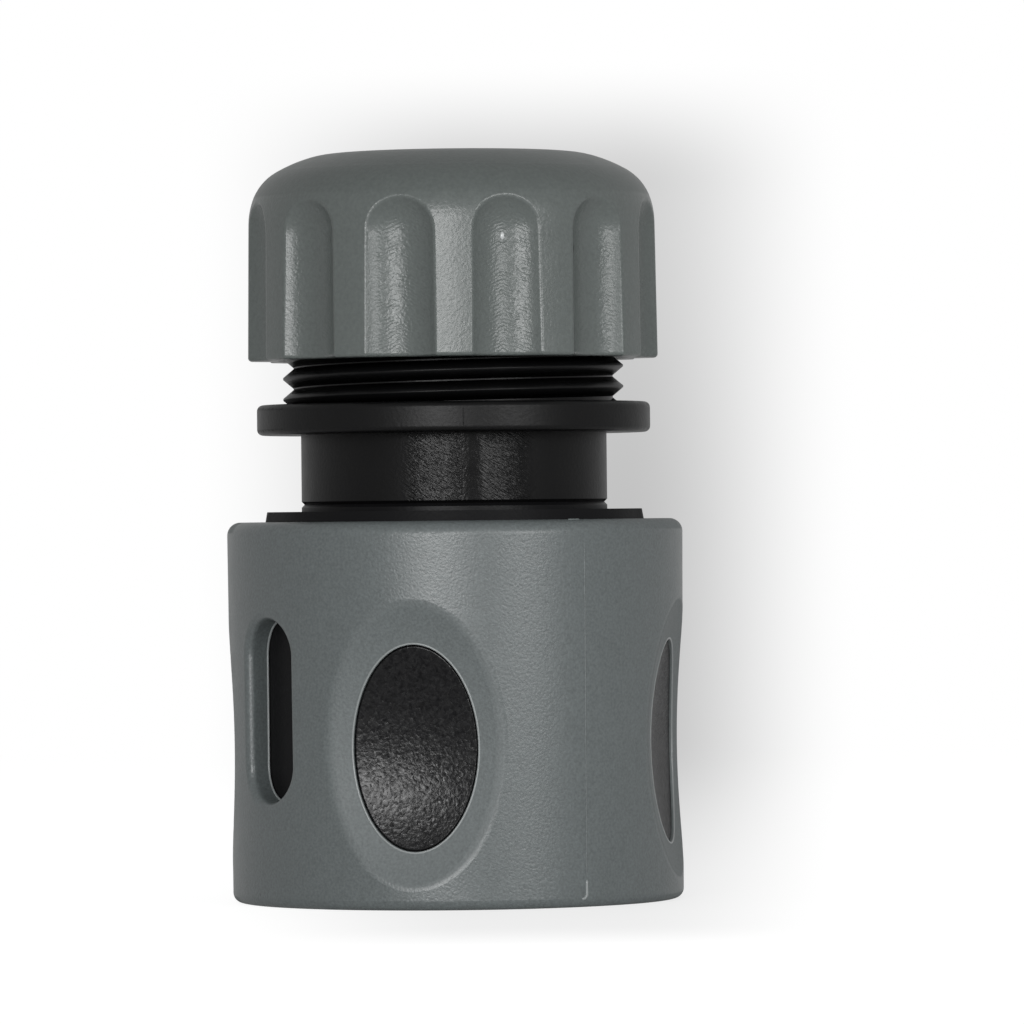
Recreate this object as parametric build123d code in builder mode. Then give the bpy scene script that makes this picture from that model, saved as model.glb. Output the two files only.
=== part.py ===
from build123d import *
from math import cos, radians, sin, sqrt
import os

os.makedirs("parts", exist_ok=True)

# Quick-release hose connector, in millimetres, standing on the foot of its sliding grip.
# The axis is Z, with the hose end up and the plug socket at the foot.
# The two slots of the grip face -X and +X, its mould parting lines -Y and +Y.
# Radii are built outwards from the bores, heights upwards from the foot.

# Clearances
seat_gap = 0.08
slide_gap = 0.25
jaw_gap = 0.15
cam_gap = 0.2
stop_gap = 0.1
thread_gap = 0.1
collet_gap = 0.15

# Travel of the grip along the neck, and of the jaws that it frees
grip_travel = 5.0
travel_spare = 1.45
jaw_travel = 1.2

# Plug socket
socket_base = 2.0
seal_bore = 8.0
seal_lead_in = 0.7
mouth_step = 3.0
mouth_depth = 13.0
mouth_chamfer = 0.6
socket_wall = 1.6

# Locking jaws: a hooked stem and a head, set in the windows of the socket
jaw_count = 4
jaw_set = 7.0
jaw_reach = 1.2
jaw_stem_width = 5.7
jaw_stem_height = 4.3
jaw_head_width = 8.4
jaw_head_height = 5.4
jaw_head_thickness = 1.2
jaw_hook_chamfer = 1.1

# Cam ring
cam_drop = 5.4
cam_cover = 0.8
cam_land = 0.5
cam_foot_wall = 0.3

# Return spring
wire_diameter = 1.1
wire_sides = 8
spring_clearance = 0.8
spring_turns = 3.5

# Core of the grip and its crown ring
core_base = 0.6
core_wall = 1.17
core_lead_in = 0.4
crown_step = 1.05
crown_slant = 0.15
crown_rise = 0.85
crown_thickness = 2.2

# Outer shell of the grip
grip_height = 31.95
grip_wall = 1.9
grip_flare = 0.22
grip_lip = 1.7
grip_top_round = 1.1
grip_base_round = 0.8

# Dished finger pads round the grip, and the slots between them
pad_count = 4
pad_start_angle = 45.0
dish_depth = 1.81
dish_cross_radius = 70.0
dish_margin_low = 1.6
dish_margin_high = 6.95
dish_rim_round = 2.0
pad_end_border = 3.2
pad_side_border = 2.04
pad_sink = 0.14
pad_edge_round = 0.12
window_edge_round = 0.22
slot_count = 2
slot_width = 6.2
slot_margin_low = 8.7
slot_margin_high = 8.05
slot_edge_round = 0.6

# Stop ring of the socket, and the joint between the two halves of the body
stop_ring_width = 1.82
stop_ring_thickness = 2.5
neck_step = 0.28
plug_wall = 1.4
plug_seat_depth = 1.9
joint_rise = 2.9
joint_chamfer = 0.25
seal_groove_rise = 2.4
seal_groove_width = 1.7
seal_groove_depth = 1.25
seal_squeeze_gap = 0.03

# Flange, threaded cup and water chamber of the upper body
flange_reach = 3.69
flange_thickness = 2.55
flange_round = 0.5
cup_wall = 1.85
cup_floor_rise = 3.7
thread_length = 12.7
thread_depth = 0.9
thread_chamfer = 0.6
chamber_step = 0.6
chamber_roof = 4.5

# Barbed hose spigot
spigot_bore = 4.9
spigot_wall = 1.4
spigot_recess = 1.25
spigot_nose = 0.4
spigot_land = 0.7
spigot_land_length = 3.5
barb_count = 4
barb_height = 0.65
barb_back = 0.35
barb_crest = 0.45

# Clamping nut: a domed and fluted cap
nut_wall = 2.82
nut_stand = 3.7
nut_draft = 0.15
nut_base_round = 0.3
nut_bore_depth = 12.7
nut_cone_depth = 2.55
nut_entry_chamfer = 0.4
nut_rim = 0.9
rim_round = 7.2
rim_turn = 16.0
dome_round = 13.0
dome_turn = 13.5
shoulder_round = 4.4
shoulder_turn = 42.0
side_round = 6.5
side_turn = 17.75
flute_count = 12
flute_start_angle = 11.6
flute_cutter_radius = 4.2
flute_depth = 1.5
flute_drop = 7.0
flute_edge_round = 0.35

# Slotted clamping collet inside the nut
hose_wall = 2.6
collet_wall = 1.7
cup_clearance = 0.3
collet_skirt = 4.95
collet_flange_reach = 1.4
collet_flange_thickness = 0.9
collet_cone_reach = 0.7
collet_tip_reach = 0.9
collet_slot_count = 8
collet_slot_width = 1.5
collet_slot_rise = 1.45
collet_tooth = 0.4
collet_tooth_pitch = 1.6
collet_tooth_back = 0.2
collet_tooth_count = 4

# Heights worked out from those above
jaw_height = socket_base + jaw_set
mouth_top = socket_base + mouth_depth
cam_base = jaw_height - cam_drop
cam_top = jaw_height + jaw_head_height / 2 + cam_cover
shoulder_height = grip_height - grip_lip
crown_top = grip_height + crown_rise
crown_underside = crown_top - crown_thickness
stop_ring_top = crown_underside - stop_gap
spring_seat = stop_ring_top - stop_ring_thickness
plug_floor = stop_ring_top - plug_seat_depth
joint_height = stop_ring_top + joint_rise
flange_base = crown_top + grip_travel + travel_spare
flange_top = flange_base + flange_thickness
cup_floor = flange_top + cup_floor_rise
cup_top = flange_top + thread_length
nut_base = flange_top + nut_stand
nut_relief_top = nut_base + nut_bore_depth
cone_foot = nut_relief_top + collet_flange_thickness + 2 * collet_gap
cone_top = cone_foot + nut_cone_depth
nut_top = cone_top + nut_rim
flute_top = nut_top - flute_drop
spigot_top = nut_top - spigot_recess

# Radii worked out from those above
mouth_bore = seal_bore + mouth_step
jaw_tip_radius = mouth_bore - jaw_reach
socket_radius = mouth_bore + socket_wall
neck_radius = socket_radius + neck_step
stop_ring_radius = neck_radius + stop_ring_width
jaw_head_inner = socket_radius + jaw_gap
jaw_head_outer = jaw_head_inner + jaw_head_thickness
jaw_slope = jaw_travel / grip_travel
cam_foot_radius = jaw_head_outer + cam_gap + jaw_slope * cam_drop
core_bore = cam_foot_radius + cam_foot_wall + seat_gap
core_radius = core_bore + core_wall
crown_radius = core_radius - crown_step
shell_bore = core_radius + seat_gap
grip_base_radius = shell_bore + grip_wall
grip_top_radius = grip_base_radius + grip_flare
spring_radius = socket_radius + spring_clearance + wire_diameter / 2
plug_bore = neck_radius - plug_wall
plug_radius = plug_bore - seat_gap
groove_radius = plug_radius - seal_groove_depth
chamber_bore = seal_bore + chamber_step
flange_radius = neck_radius + flange_reach
spigot_radius = spigot_bore + spigot_wall
spigot_land_radius = spigot_radius + spigot_land
collet_bore = spigot_land_radius + hose_wall
collet_skirt_radius = collet_bore + collet_wall
cup_bore = collet_skirt_radius + cup_clearance
thread_root_radius = cup_bore + cup_wall
nut_bore = thread_root_radius + thread_depth + thread_gap
nut_radius = nut_bore + nut_wall
hose_hole_radius = collet_bore + 2 * collet_gap

# Dishes, pads and slots, sized to the grip
dish_half_length = (grip_height - dish_margin_low - dish_margin_high) / 2
pad_height = dish_margin_low + dish_half_length
pad_skin_radius = grip_base_radius + grip_flare * pad_height / grip_height
dish_floor = pad_skin_radius - dish_depth
dish_sweep_radius = (dish_half_length**2 + dish_depth**2) / (2 * dish_depth)
dish_centre = dish_floor + dish_cross_radius
dish_rim_distance = (pad_skin_radius**2 - dish_cross_radius**2 + dish_centre**2) / (2 * dish_centre)
dish_half_width = sqrt(pad_skin_radius**2 - dish_rim_distance**2)
dish_arc = 360 * dish_half_width / (3 * dish_cross_radius)
pad_half_length = dish_half_length - pad_end_border
pad_half_width = dish_half_width - pad_side_border
slot_length = grip_height - slot_margin_low - slot_margin_high
slot_height = slot_margin_low + slot_length / 2
pad_angles = [pad_start_angle + 360 / pad_count * step for step in range(pad_count)]
slot_angles = [360 / slot_count * step for step in range(slot_count)]
jaw_angles = [360 / jaw_count * step for step in range(jaw_count)]


def facing_plane(angle, distance, height):
    """Plane that faces outwards at an angle round the axis, with its Y up."""
    outward = Vector(cos(radians(angle)), sin(radians(angle)), 0)
    return Plane(
        origin=(distance * outward.X, distance * outward.Y, height),
        x_dir=(-outward.Y, outward.X, 0),
        z_dir=(outward.X, outward.Y, 0),
    )


def beyond(radius):
    """Filter for the edges whose middle lies further from the axis than a radius."""
    return lambda edge: sqrt((edge @ 0.5).X ** 2 + (edge @ 0.5).Y ** 2) > radius


def cam_radius_at(height):
    """Radius of the cam cone, which widens towards the mouth."""
    return cam_foot_radius - jaw_slope * (height - cam_base)


# Cutter for one finger dish: a shallow bowl, hollow along the grip and across it
with BuildPart() as dish_bowl:
    with BuildSketch(Plane.XZ):
        with Locations((dish_floor + dish_sweep_radius, pad_height)):
            Circle(dish_sweep_radius)
        with Locations((dish_floor, pad_height)):
            Rectangle(4 * grip_wall, 2 * dish_sweep_radius, mode=Mode.INTERSECT)
    bowl_axis = Axis((dish_centre, 0, 0), (0, 0, 1))
    revolve(axis=bowl_axis, revolution_arc=dish_arc)
dish_cutter = dish_bowl.part.rotate(bowl_axis, -dish_arc / 2)

# Grey shell of the grip, with the pad windows and the slots
with BuildPart() as grip_shell:
    lip_bore = crown_radius + seat_gap
    with BuildSketch(Plane.XZ):
        with BuildLine():
            Polyline(
                (shell_bore, 0),
                (grip_base_radius, 0),
                (grip_top_radius, grip_height),
                (lip_bore, grip_height),
                (lip_bore, shoulder_height),
                (shell_bore, shoulder_height),
                close=True,
            )
        make_face()
    revolve(axis=Axis.Z)
    fillet(grip_shell.edges().group_by(Axis.Z)[-1].sort_by(SortBy.RADIUS)[-1], radius=grip_top_round)
    fillet(grip_shell.edges().group_by(Axis.Z)[0].sort_by(SortBy.RADIUS)[-1], radius=grip_base_round)
    with PolarLocations(0, pad_count, start_angle=pad_start_angle):
        add(dish_cutter, mode=Mode.SUBTRACT)
    fillet(grip_shell.edges(Select.NEW), radius=dish_rim_round)
    for angle in pad_angles:
        with BuildSketch(facing_plane(angle, 0, pad_height)):
            Ellipse(pad_half_width, pad_half_length)
        extrude(amount=2 * grip_base_radius, mode=Mode.SUBTRACT)
        window_edges = grip_shell.edges(Select.NEW).filter_by(beyond(shell_bore + grip_wall / 4))
        fillet(window_edges, radius=window_edge_round)
    for angle in slot_angles:
        with BuildSketch(facing_plane(angle, 0, slot_height)):
            SlotOverall(slot_length, slot_width, rotation=90)
        extrude(amount=2 * grip_base_radius, mode=Mode.SUBTRACT)
        slot_edges = grip_shell.edges(Select.NEW).filter_by(beyond(shell_bore + grip_wall / 4))
        fillet(slot_edges, radius=slot_edge_round)

# Black core of the grip, with the pads that fill the windows and the crown ring
with BuildPart() as grip_core:
    with BuildSketch(Plane.XZ):
        with BuildLine():
            Polyline(
                (core_bore + core_lead_in, core_base),
                (core_radius, core_base),
                (core_radius, shoulder_height - seat_gap),
                (crown_radius, shoulder_height - seat_gap),
                (crown_radius, grip_height),
                (crown_radius - crown_slant, crown_top),
                (neck_radius + slide_gap, crown_top),
                (neck_radius + slide_gap, crown_underside),
                (core_bore, crown_underside),
                (core_bore, core_base + core_lead_in),
                close=True,
            )
        make_face()
    revolve(axis=Axis.Z)
    for angle in pad_angles:
        with BuildSketch(facing_plane(angle, core_bore + core_wall / 2, pad_height)):
            Ellipse(pad_half_width - seat_gap, pad_half_length - seat_gap)
        extrude(amount=grip_top_radius - core_bore)
    with PolarLocations(-pad_sink, pad_count, start_angle=pad_start_angle):
        add(dish_cutter, mode=Mode.SUBTRACT)
    fillet(grip_core.edges(Select.NEW), radius=pad_edge_round)

# Cam ring, which holds the jaws in and carries the foot of the spring
with BuildPart() as cam_ring:
    with BuildSketch(Plane.XZ):
        with BuildLine():
            Polyline(
                (cam_foot_radius, cam_base),
                (core_bore - seat_gap, cam_base),
                (core_bore - seat_gap, cam_top),
                (cam_radius_at(cam_top - cam_land), cam_top),
                (cam_radius_at(cam_top - cam_land), cam_top - cam_land),
                close=True,
            )
        make_face()
    revolve(axis=Axis.Z)

# Stainless return spring, its ends ground flat on the cam ring and the stop ring
with BuildPart() as return_spring:
    spring_foot = cam_top + seat_gap
    spring_length = spring_seat - spring_foot
    with BuildLine():
        wire_line = Helix(
            pitch=spring_length / spring_turns,
            height=spring_length,
            radius=spring_radius,
            center=(0, 0, spring_foot),
        )
    with BuildSketch(Plane(origin=wire_line @ 0, x_dir=(1, 0, 0), z_dir=wire_line % 0)):
        RegularPolygon(radius=wire_diameter / 2, side_count=wire_sides)
    sweep(is_frenet=True)
    with Locations((0, 0, spring_foot)):
        Cylinder(
            radius=2 * spring_radius,
            height=spring_length,
            align=(Align.CENTER, Align.CENTER, Align.MIN),
            mode=Mode.INTERSECT,
        )

# Plug socket: the lower half of the body, with a window for each jaw
with BuildPart() as socket_body:
    with BuildSketch(Plane.XZ):
        with BuildLine():
            Polyline(
                (mouth_bore + mouth_chamfer, socket_base),
                (socket_radius, socket_base),
                (socket_radius, spring_seat),
                (stop_ring_radius, spring_seat),
                (stop_ring_radius, stop_ring_top),
                (neck_radius, stop_ring_top),
                (neck_radius, joint_height - joint_chamfer),
                (neck_radius - joint_chamfer, joint_height),
                (plug_bore, joint_height),
                (plug_bore, plug_floor),
                (seal_bore, plug_floor),
                (seal_bore, mouth_top + seal_lead_in),
                (seal_bore + seal_lead_in, mouth_top),
                (mouth_bore, mouth_top),
                (mouth_bore, socket_base + mouth_chamfer),
                close=True,
            )
        make_face()
    revolve(axis=Axis.Z)
    for angle in jaw_angles:
        with BuildSketch(facing_plane(angle, 0, jaw_height)):
            Rectangle(jaw_stem_width + 2 * jaw_gap, jaw_stem_height + 2 * jaw_gap)
        extrude(amount=2 * socket_radius, mode=Mode.SUBTRACT)

# Locking jaw: a hooked stem through the window and a head that the cam holds
with BuildPart() as jaw_form:
    head_base = jaw_height - jaw_head_height / 2
    head_top = jaw_height + jaw_head_height / 2
    stem_base = jaw_height - jaw_stem_height / 2
    stem_top = jaw_height + jaw_stem_height / 2
    with BuildSketch(Plane.XZ):
        with BuildLine():
            Polyline(
                (jaw_head_inner, head_base),
                (jaw_head_outer + jaw_slope * (jaw_height - head_base), head_base),
                (jaw_head_outer + jaw_slope * (jaw_height - head_top), head_top),
                (jaw_head_inner, head_top),
                close=True,
            )
        make_face()
    revolve(axis=Axis.Z)
    with Locations((socket_radius, 0, jaw_height)):
        Box(socket_radius, jaw_head_width, jaw_head_height, mode=Mode.INTERSECT)
    with BuildSketch(Plane.YZ.offset(seal_bore)):
        with Locations((0, jaw_height)):
            Rectangle(jaw_stem_width, jaw_stem_height)
    extrude(amount=jaw_head_inner + jaw_head_thickness / 2 - seal_bore)
    with BuildSketch(Plane.XZ):
        with BuildLine():
            Polyline(
                (0, stem_base),
                (jaw_tip_radius + jaw_hook_chamfer, stem_base),
                (jaw_tip_radius, stem_base + jaw_hook_chamfer),
                (jaw_tip_radius, stem_top),
                (0, stem_top),
                close=True,
            )
        make_face()
    revolve(axis=Axis.Z, mode=Mode.SUBTRACT)

for number, angle in enumerate(jaw_angles, start=1):
    with BuildPart() as locking_jaw:
        add(jaw_form.part, rotation=(0, 0, angle))
    locking_jaw.part.label = f"locking_jaw_{number}"
    export_step(locking_jaw.part, f"parts/locking_jaw_{number}.step")

# Upper body: neck, flange, threaded cup and barbed spigot, bored right through
with BuildPart() as hose_tail:
    groove_base = plug_floor + seal_groove_rise - seal_groove_width / 2
    groove_top = groove_base + seal_groove_width
    land_top = cup_floor + spigot_land_length
    barb_pitch = (spigot_top - land_top) / barb_count
    barbs = [(spigot_radius, land_top)]
    for step in range(barb_count):
        foot = land_top + barb_pitch * step
        last = step == barb_count - 1
        barbs.append((spigot_radius + barb_height, foot + barb_back))
        barbs.append((spigot_radius + barb_height, foot + barb_back + barb_crest))
        barbs.append((spigot_radius - spigot_nose if last else spigot_radius, foot + barb_pitch))
    with BuildSketch(Plane.XZ):
        with BuildLine():
            Polyline(
                (chamber_bore, plug_floor + seat_gap),
                (plug_radius, plug_floor + seat_gap),
                (plug_radius, groove_base),
                (groove_radius, groove_base),
                (groove_radius, groove_top),
                (plug_radius, groove_top),
                (plug_radius, joint_height),
                (neck_radius - joint_chamfer, joint_height),
                (neck_radius, joint_height + joint_chamfer),
                (neck_radius, flange_base),
                (flange_radius, flange_base),
                (flange_radius, flange_top),
                (thread_root_radius, flange_top),
                (thread_root_radius, cup_top - thread_chamfer),
                (thread_root_radius - thread_chamfer, cup_top),
                (cup_bore, cup_top),
                (cup_bore, cup_floor),
                (spigot_land_radius, cup_floor),
                (spigot_land_radius, land_top),
                *barbs,
                (spigot_bore, spigot_top),
                (spigot_bore, cup_floor),
                (chamber_bore, cup_floor - chamber_roof),
                close=True,
            )
        make_face()
    revolve(axis=Axis.Z)
    flange_edges = hose_tail.edges().filter_by(GeomType.CIRCLE).group_by(SortBy.RADIUS)[-1]
    fillet(flange_edges, radius=flange_round)

# O-ring in its groove between the two halves of the body
with BuildPart() as body_seal:
    seal_thickness = plug_bore - groove_radius - 2 * seal_squeeze_gap
    with BuildSketch(Plane.XZ):
        with Locations((groove_radius + seal_squeeze_gap + seal_thickness / 2, plug_floor + seal_groove_rise)):
            Circle(seal_thickness / 2)
    revolve(axis=Axis.Z)

# Cutter for one flute of the clamping nut: a round groove with a ball end
with BuildPart() as flute_cutter:
    with BuildSketch(Plane.XZ):
        with BuildLine():
            Polyline(
                (0, flute_top + flute_cutter_radius),
                (0, nut_base - flute_cutter_radius),
                (flute_cutter_radius, nut_base - flute_cutter_radius),
                (flute_cutter_radius, flute_top),
            )
            CenterArc((0, flute_top), flute_cutter_radius, 0, 90)
        make_face()
    revolve(axis=Axis.Z)

# Clamping nut: a domed and fluted cap with a hole for the hose
with BuildPart() as hose_nut:
    crown_rounds = [
        (rim_round, rim_turn),
        (dome_round, dome_turn),
        (shoulder_round, shoulder_turn),
        (side_round, side_turn),
    ]
    crown_width = 0.0
    heading = 0.0
    for size, turn in crown_rounds:
        crown_width += size * (sin(radians(heading + turn)) - sin(radians(heading)))
        heading += turn
    cone_foot_radius = collet_skirt_radius + collet_cone_reach
    cone_top_radius = collet_bore + collet_tip_reach
    cone_slope = (cone_foot_radius - cone_top_radius) / (cone_top - cone_foot)
    flange_recess_radius = collet_skirt_radius + collet_flange_reach + collet_gap
    with BuildSketch(Plane.XZ):
        with BuildLine():
            hole_edge = (hose_hole_radius, nut_top)
            crown_edge = (nut_radius - nut_draft - crown_width, nut_top)
            outline = Line(hole_edge, crown_edge)
            heading = 0.0
            for size, turn in crown_rounds:
                outline = JernArc(
                    start=outline @ 1,
                    tangent=(cos(radians(heading)), -sin(radians(heading))),
                    radius=size,
                    arc_size=-turn,
                )
                heading += turn
            Polyline(
                outline @ 1,
                (nut_radius, nut_base),
                (nut_bore + nut_entry_chamfer, nut_base),
                (nut_bore, nut_base + nut_entry_chamfer),
                (nut_bore, nut_relief_top),
                (flange_recess_radius, nut_relief_top),
                (flange_recess_radius, cone_foot),
                (cone_foot_radius + collet_gap, cone_foot),
                (cone_top_radius + collet_gap, cone_top),
                (hose_hole_radius, cone_top),
                hole_edge,
            )
        make_face()
    revolve(axis=Axis.Z)
    flute_line = nut_radius - flute_depth + flute_cutter_radius
    with PolarLocations(flute_line, flute_count, start_angle=flute_start_angle):
        add(flute_cutter.part, mode=Mode.SUBTRACT)
    flute_rims = hose_nut.edges(Select.NEW).filter_by(lambda edge: (edge @ 0.5).Z > nut_base)
    fillet(flute_rims, radius=flute_edge_round)
    foot_edges = hose_nut.edges().group_by(Axis.Z)[0].filter_by(beyond(nut_bore + 2 * nut_entry_chamfer))
    fillet(foot_edges, radius=nut_base_round)

# Slotted collet, captive in the nut, which grips the hose on the spigot
with BuildPart() as clamping_collet:
    collet_shoulder = nut_relief_top + collet_gap
    collet_waist = collet_shoulder + collet_flange_thickness
    collet_base = collet_shoulder - collet_skirt
    collet_slot_top = collet_shoulder + collet_slot_rise
    collet_top = cone_top - collet_gap
    collet_flange_radius = collet_skirt_radius + collet_flange_reach
    teeth = []
    for step in range(collet_tooth_count):
        root = collet_slot_top - collet_tooth_pitch * step
        teeth.append((collet_bore + collet_tooth, root))
        teeth.append((collet_bore, root - collet_tooth))
        teeth.append((collet_bore + collet_tooth, root - collet_tooth_pitch + collet_tooth_back))
    with BuildSketch(Plane.XZ):
        with BuildLine():
            Polyline(
                (collet_bore + collet_tooth, collet_base),
                (collet_skirt_radius, collet_base),
                (collet_skirt_radius, collet_shoulder),
                (collet_flange_radius, collet_shoulder),
                (collet_flange_radius, collet_waist),
                (cone_foot_radius - cone_slope * (collet_waist - cone_foot), collet_waist),
                (cone_top_radius + cone_slope * collet_gap, collet_top),
                (collet_bore, collet_top),
                *teeth,
                close=True,
            )
        make_face()
    revolve(axis=Axis.Z)
    with PolarLocations(0, collet_slot_count):
        with Locations((0, 0, collet_base)):
            Box(
                2 * collet_flange_radius,
                collet_slot_width,
                collet_slot_top - collet_base,
                align=(Align.MIN, Align.CENTER, Align.MIN),
                mode=Mode.SUBTRACT,
            )

grip_shell.part.label = "grip_shell"
export_step(grip_shell.part, "parts/grip_shell.step")
grip_core.part.label = "grip_core"
export_step(grip_core.part, "parts/grip_core.step")
cam_ring.part.label = "cam_ring"
export_step(cam_ring.part, "parts/cam_ring.step")
return_spring.part.label = "return_spring"
export_step(return_spring.part, "parts/return_spring.step")
socket_body.part.label = "socket_body"
export_step(socket_body.part, "parts/socket_body.step")
hose_tail.part.label = "hose_tail"
export_step(hose_tail.part, "parts/hose_tail.step")
body_seal.part.label = "body_seal"
export_step(body_seal.part, "parts/body_seal.step")
hose_nut.part.label = "hose_nut"
export_step(hose_nut.part, "parts/hose_nut.step")
clamping_collet.part.label = "clamping_collet"
export_step(clamping_collet.part, "parts/clamping_collet.step")
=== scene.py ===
"""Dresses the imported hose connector: its finishes, threads, spring and mould marks, with a studio and a camera.

Every size in the classes is in millimetres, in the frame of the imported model, whose axis is Z and whose foot
stands on the floor. Meshes are written in metres, in the same frame.
"""

from __future__ import annotations

import logging
import math
from collections.abc import Callable, Sequence
from dataclasses import dataclass, replace
from enum import Enum
from functools import partialmethod

import bmesh
import bpy
from bpy.types import ID, Material, Mesh, Node, NodeSocket, NodeTree, Object
from mathutils import Matrix, Vector

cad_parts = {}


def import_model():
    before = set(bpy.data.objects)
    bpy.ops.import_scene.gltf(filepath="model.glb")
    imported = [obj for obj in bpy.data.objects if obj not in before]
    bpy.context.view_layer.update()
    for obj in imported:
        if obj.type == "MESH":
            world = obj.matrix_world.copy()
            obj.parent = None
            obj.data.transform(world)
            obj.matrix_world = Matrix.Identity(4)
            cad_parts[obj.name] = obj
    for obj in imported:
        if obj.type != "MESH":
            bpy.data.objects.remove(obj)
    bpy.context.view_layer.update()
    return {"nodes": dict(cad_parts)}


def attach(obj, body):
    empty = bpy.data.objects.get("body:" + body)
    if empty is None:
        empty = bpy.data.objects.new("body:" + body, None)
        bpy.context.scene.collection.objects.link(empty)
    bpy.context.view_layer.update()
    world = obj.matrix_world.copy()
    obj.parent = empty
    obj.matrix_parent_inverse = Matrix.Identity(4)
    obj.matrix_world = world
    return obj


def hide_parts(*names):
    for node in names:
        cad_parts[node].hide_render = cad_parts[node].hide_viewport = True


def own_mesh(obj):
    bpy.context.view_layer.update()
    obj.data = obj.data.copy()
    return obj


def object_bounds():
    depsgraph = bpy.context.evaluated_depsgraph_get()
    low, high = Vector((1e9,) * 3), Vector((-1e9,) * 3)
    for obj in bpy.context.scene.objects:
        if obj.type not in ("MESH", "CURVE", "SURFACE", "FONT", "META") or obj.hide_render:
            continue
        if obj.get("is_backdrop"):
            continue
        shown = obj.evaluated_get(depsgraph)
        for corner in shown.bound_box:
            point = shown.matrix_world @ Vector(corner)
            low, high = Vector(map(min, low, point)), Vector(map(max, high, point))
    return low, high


MM = 0.001
PER_MM = 1 / MM
SAME_POINT = 1e-7  # metres between two points that are welded into one
LOG = logging.getLogger("hose_connector")
SIDES = (("front", 0.0), ("back", 180.0))

Edge = tuple[float, float]  # where a blend starts and where it is complete
Row = tuple[float, ...]
Outline = tuple[tuple[float, float], ...]
Triple = tuple[float, float, float]
Number = "Wire | float"


class Slot(Enum):
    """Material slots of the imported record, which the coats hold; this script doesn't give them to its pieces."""

    GREY = "grey_plastic"
    BLACK = "black_plastic"
    SPRING = "spring_steel"


class Body(Enum):
    """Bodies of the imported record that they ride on."""

    CONNECTOR = "connector_body"
    GRIP = "grip"
    NUT = "nut"


class Wire:
    """One value in a node tree. Arithmetic on it adds Math nodes."""

    def __init__(self, graph: Graph, socket: NodeSocket) -> None:
        """Keeps the graph that the value belongs to and the output socket that gives it."""
        self.graph = graph
        self.socket = socket

    def math(self, operation: str, *others: Number) -> Wire:
        """Adds one Math node that starts from this value.

        Args:
            operation: the Math node's operation.
            *others: its second and third values.

        Returns:
            The result.
        """
        return self.graph.wire("ShaderNodeMath", 0, dict(enumerate((self, *others))), operation=operation)

    __add__ = __radd__ = partialmethod(math, "ADD")
    __sub__ = partialmethod(math, "SUBTRACT")
    __mul__ = partialmethod(math, "MULTIPLY")
    __truediv__ = partialmethod(math, "DIVIDE")
    least = partialmethod(math, "MINIMUM")
    most = partialmethod(math, "MAXIMUM")

    def __rsub__(self, other: float) -> Wire:
        """Difference from a plain number."""
        return self.graph.wire("ShaderNodeMath", 0, {0: other, 1: self}, operation="SUBTRACT")

    def wrap(self, half: float) -> Wire:
        """The value brought between minus half a round and half a round."""
        return self.math("WRAP", half, -half)

    def span(self, other: Wire) -> Wire:
        """The slanting side over this value and one at right angles to it."""
        return (self * self + other * other).math("SQRT")

    def ramp(self, start: Number, end: Number) -> Wire:
        """A smooth step from 0 at one value to 1 at another.

        Args:
            start: the value at which the result is 0.
            end: the value at which it is 1.

        Returns:
            The step.
        """
        inputs = {"Value": self, "From Min": start, "From Max": end}
        return self.graph.wire("ShaderNodeMapRange", "Result", inputs, interpolation_type="SMOOTHSTEP")


class Graph:
    """Adds nodes to a shader tree or a geometry tree and links them."""

    def __init__(self, tree: NodeTree) -> None:
        """Keeps the tree that takes the nodes."""
        self.tree = tree

    def add(self, kind: str, inputs: dict | None = None, **options: object) -> Node:
        """Adds one node, sets its options and fills its sockets.

        Args:
            kind: the node's type in Blender.
            inputs: a value, a Wire or another node's socket for each socket named or numbered.
            **options: the node's own options.

        Returns:
            The new node.
        """
        node = self.tree.nodes.new(kind)
        for option, value in options.items():
            setattr(node, option, value)
        for key, value in (inputs or {}).items():
            self.feed(node.inputs[key], value)
        return node

    def feed(self, socket: NodeSocket, value: object) -> None:
        """Links a value to a socket, or sets it there.

        Args:
            socket: the input socket to fill.
            value: a Wire, a socket, or a plain value.
        """
        if isinstance(value, Wire):
            value = value.socket
        if isinstance(value, NodeSocket):
            self.tree.links.new(value, socket)
        else:
            socket.default_value = value

    def wire(self, kind: str, output: str | int, inputs: dict | None = None, **options: object) -> Wire:
        """Adds one node and gives one of its outputs.

        Args:
            kind: the node's type in Blender.
            output: the name or number of the output wanted.
            inputs: what its sockets take.
            **options: the node's own options.

        Returns:
            The output as a Wire.
        """
        return Wire(self, self.add(kind, inputs, **options).outputs[output])

    def split(self, vector: object) -> tuple[Wire, Wire, Wire]:
        """Splits a vector into its X, Y and Z."""
        node = self.add("ShaderNodeSeparateXYZ", {0: vector})
        return tuple(Wire(self, output) for output in node.outputs)

    def join(self, x: Number, y: Number, z: Number) -> Wire:
        """Joins three values into a vector."""
        return self.wire("ShaderNodeCombineXYZ", 0, {0: x, 1: y, 2: z})

    def grey(self, tone: Wire) -> Wire:
        """The grey of a tone."""
        return self.join(tone, tone, tone)


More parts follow.
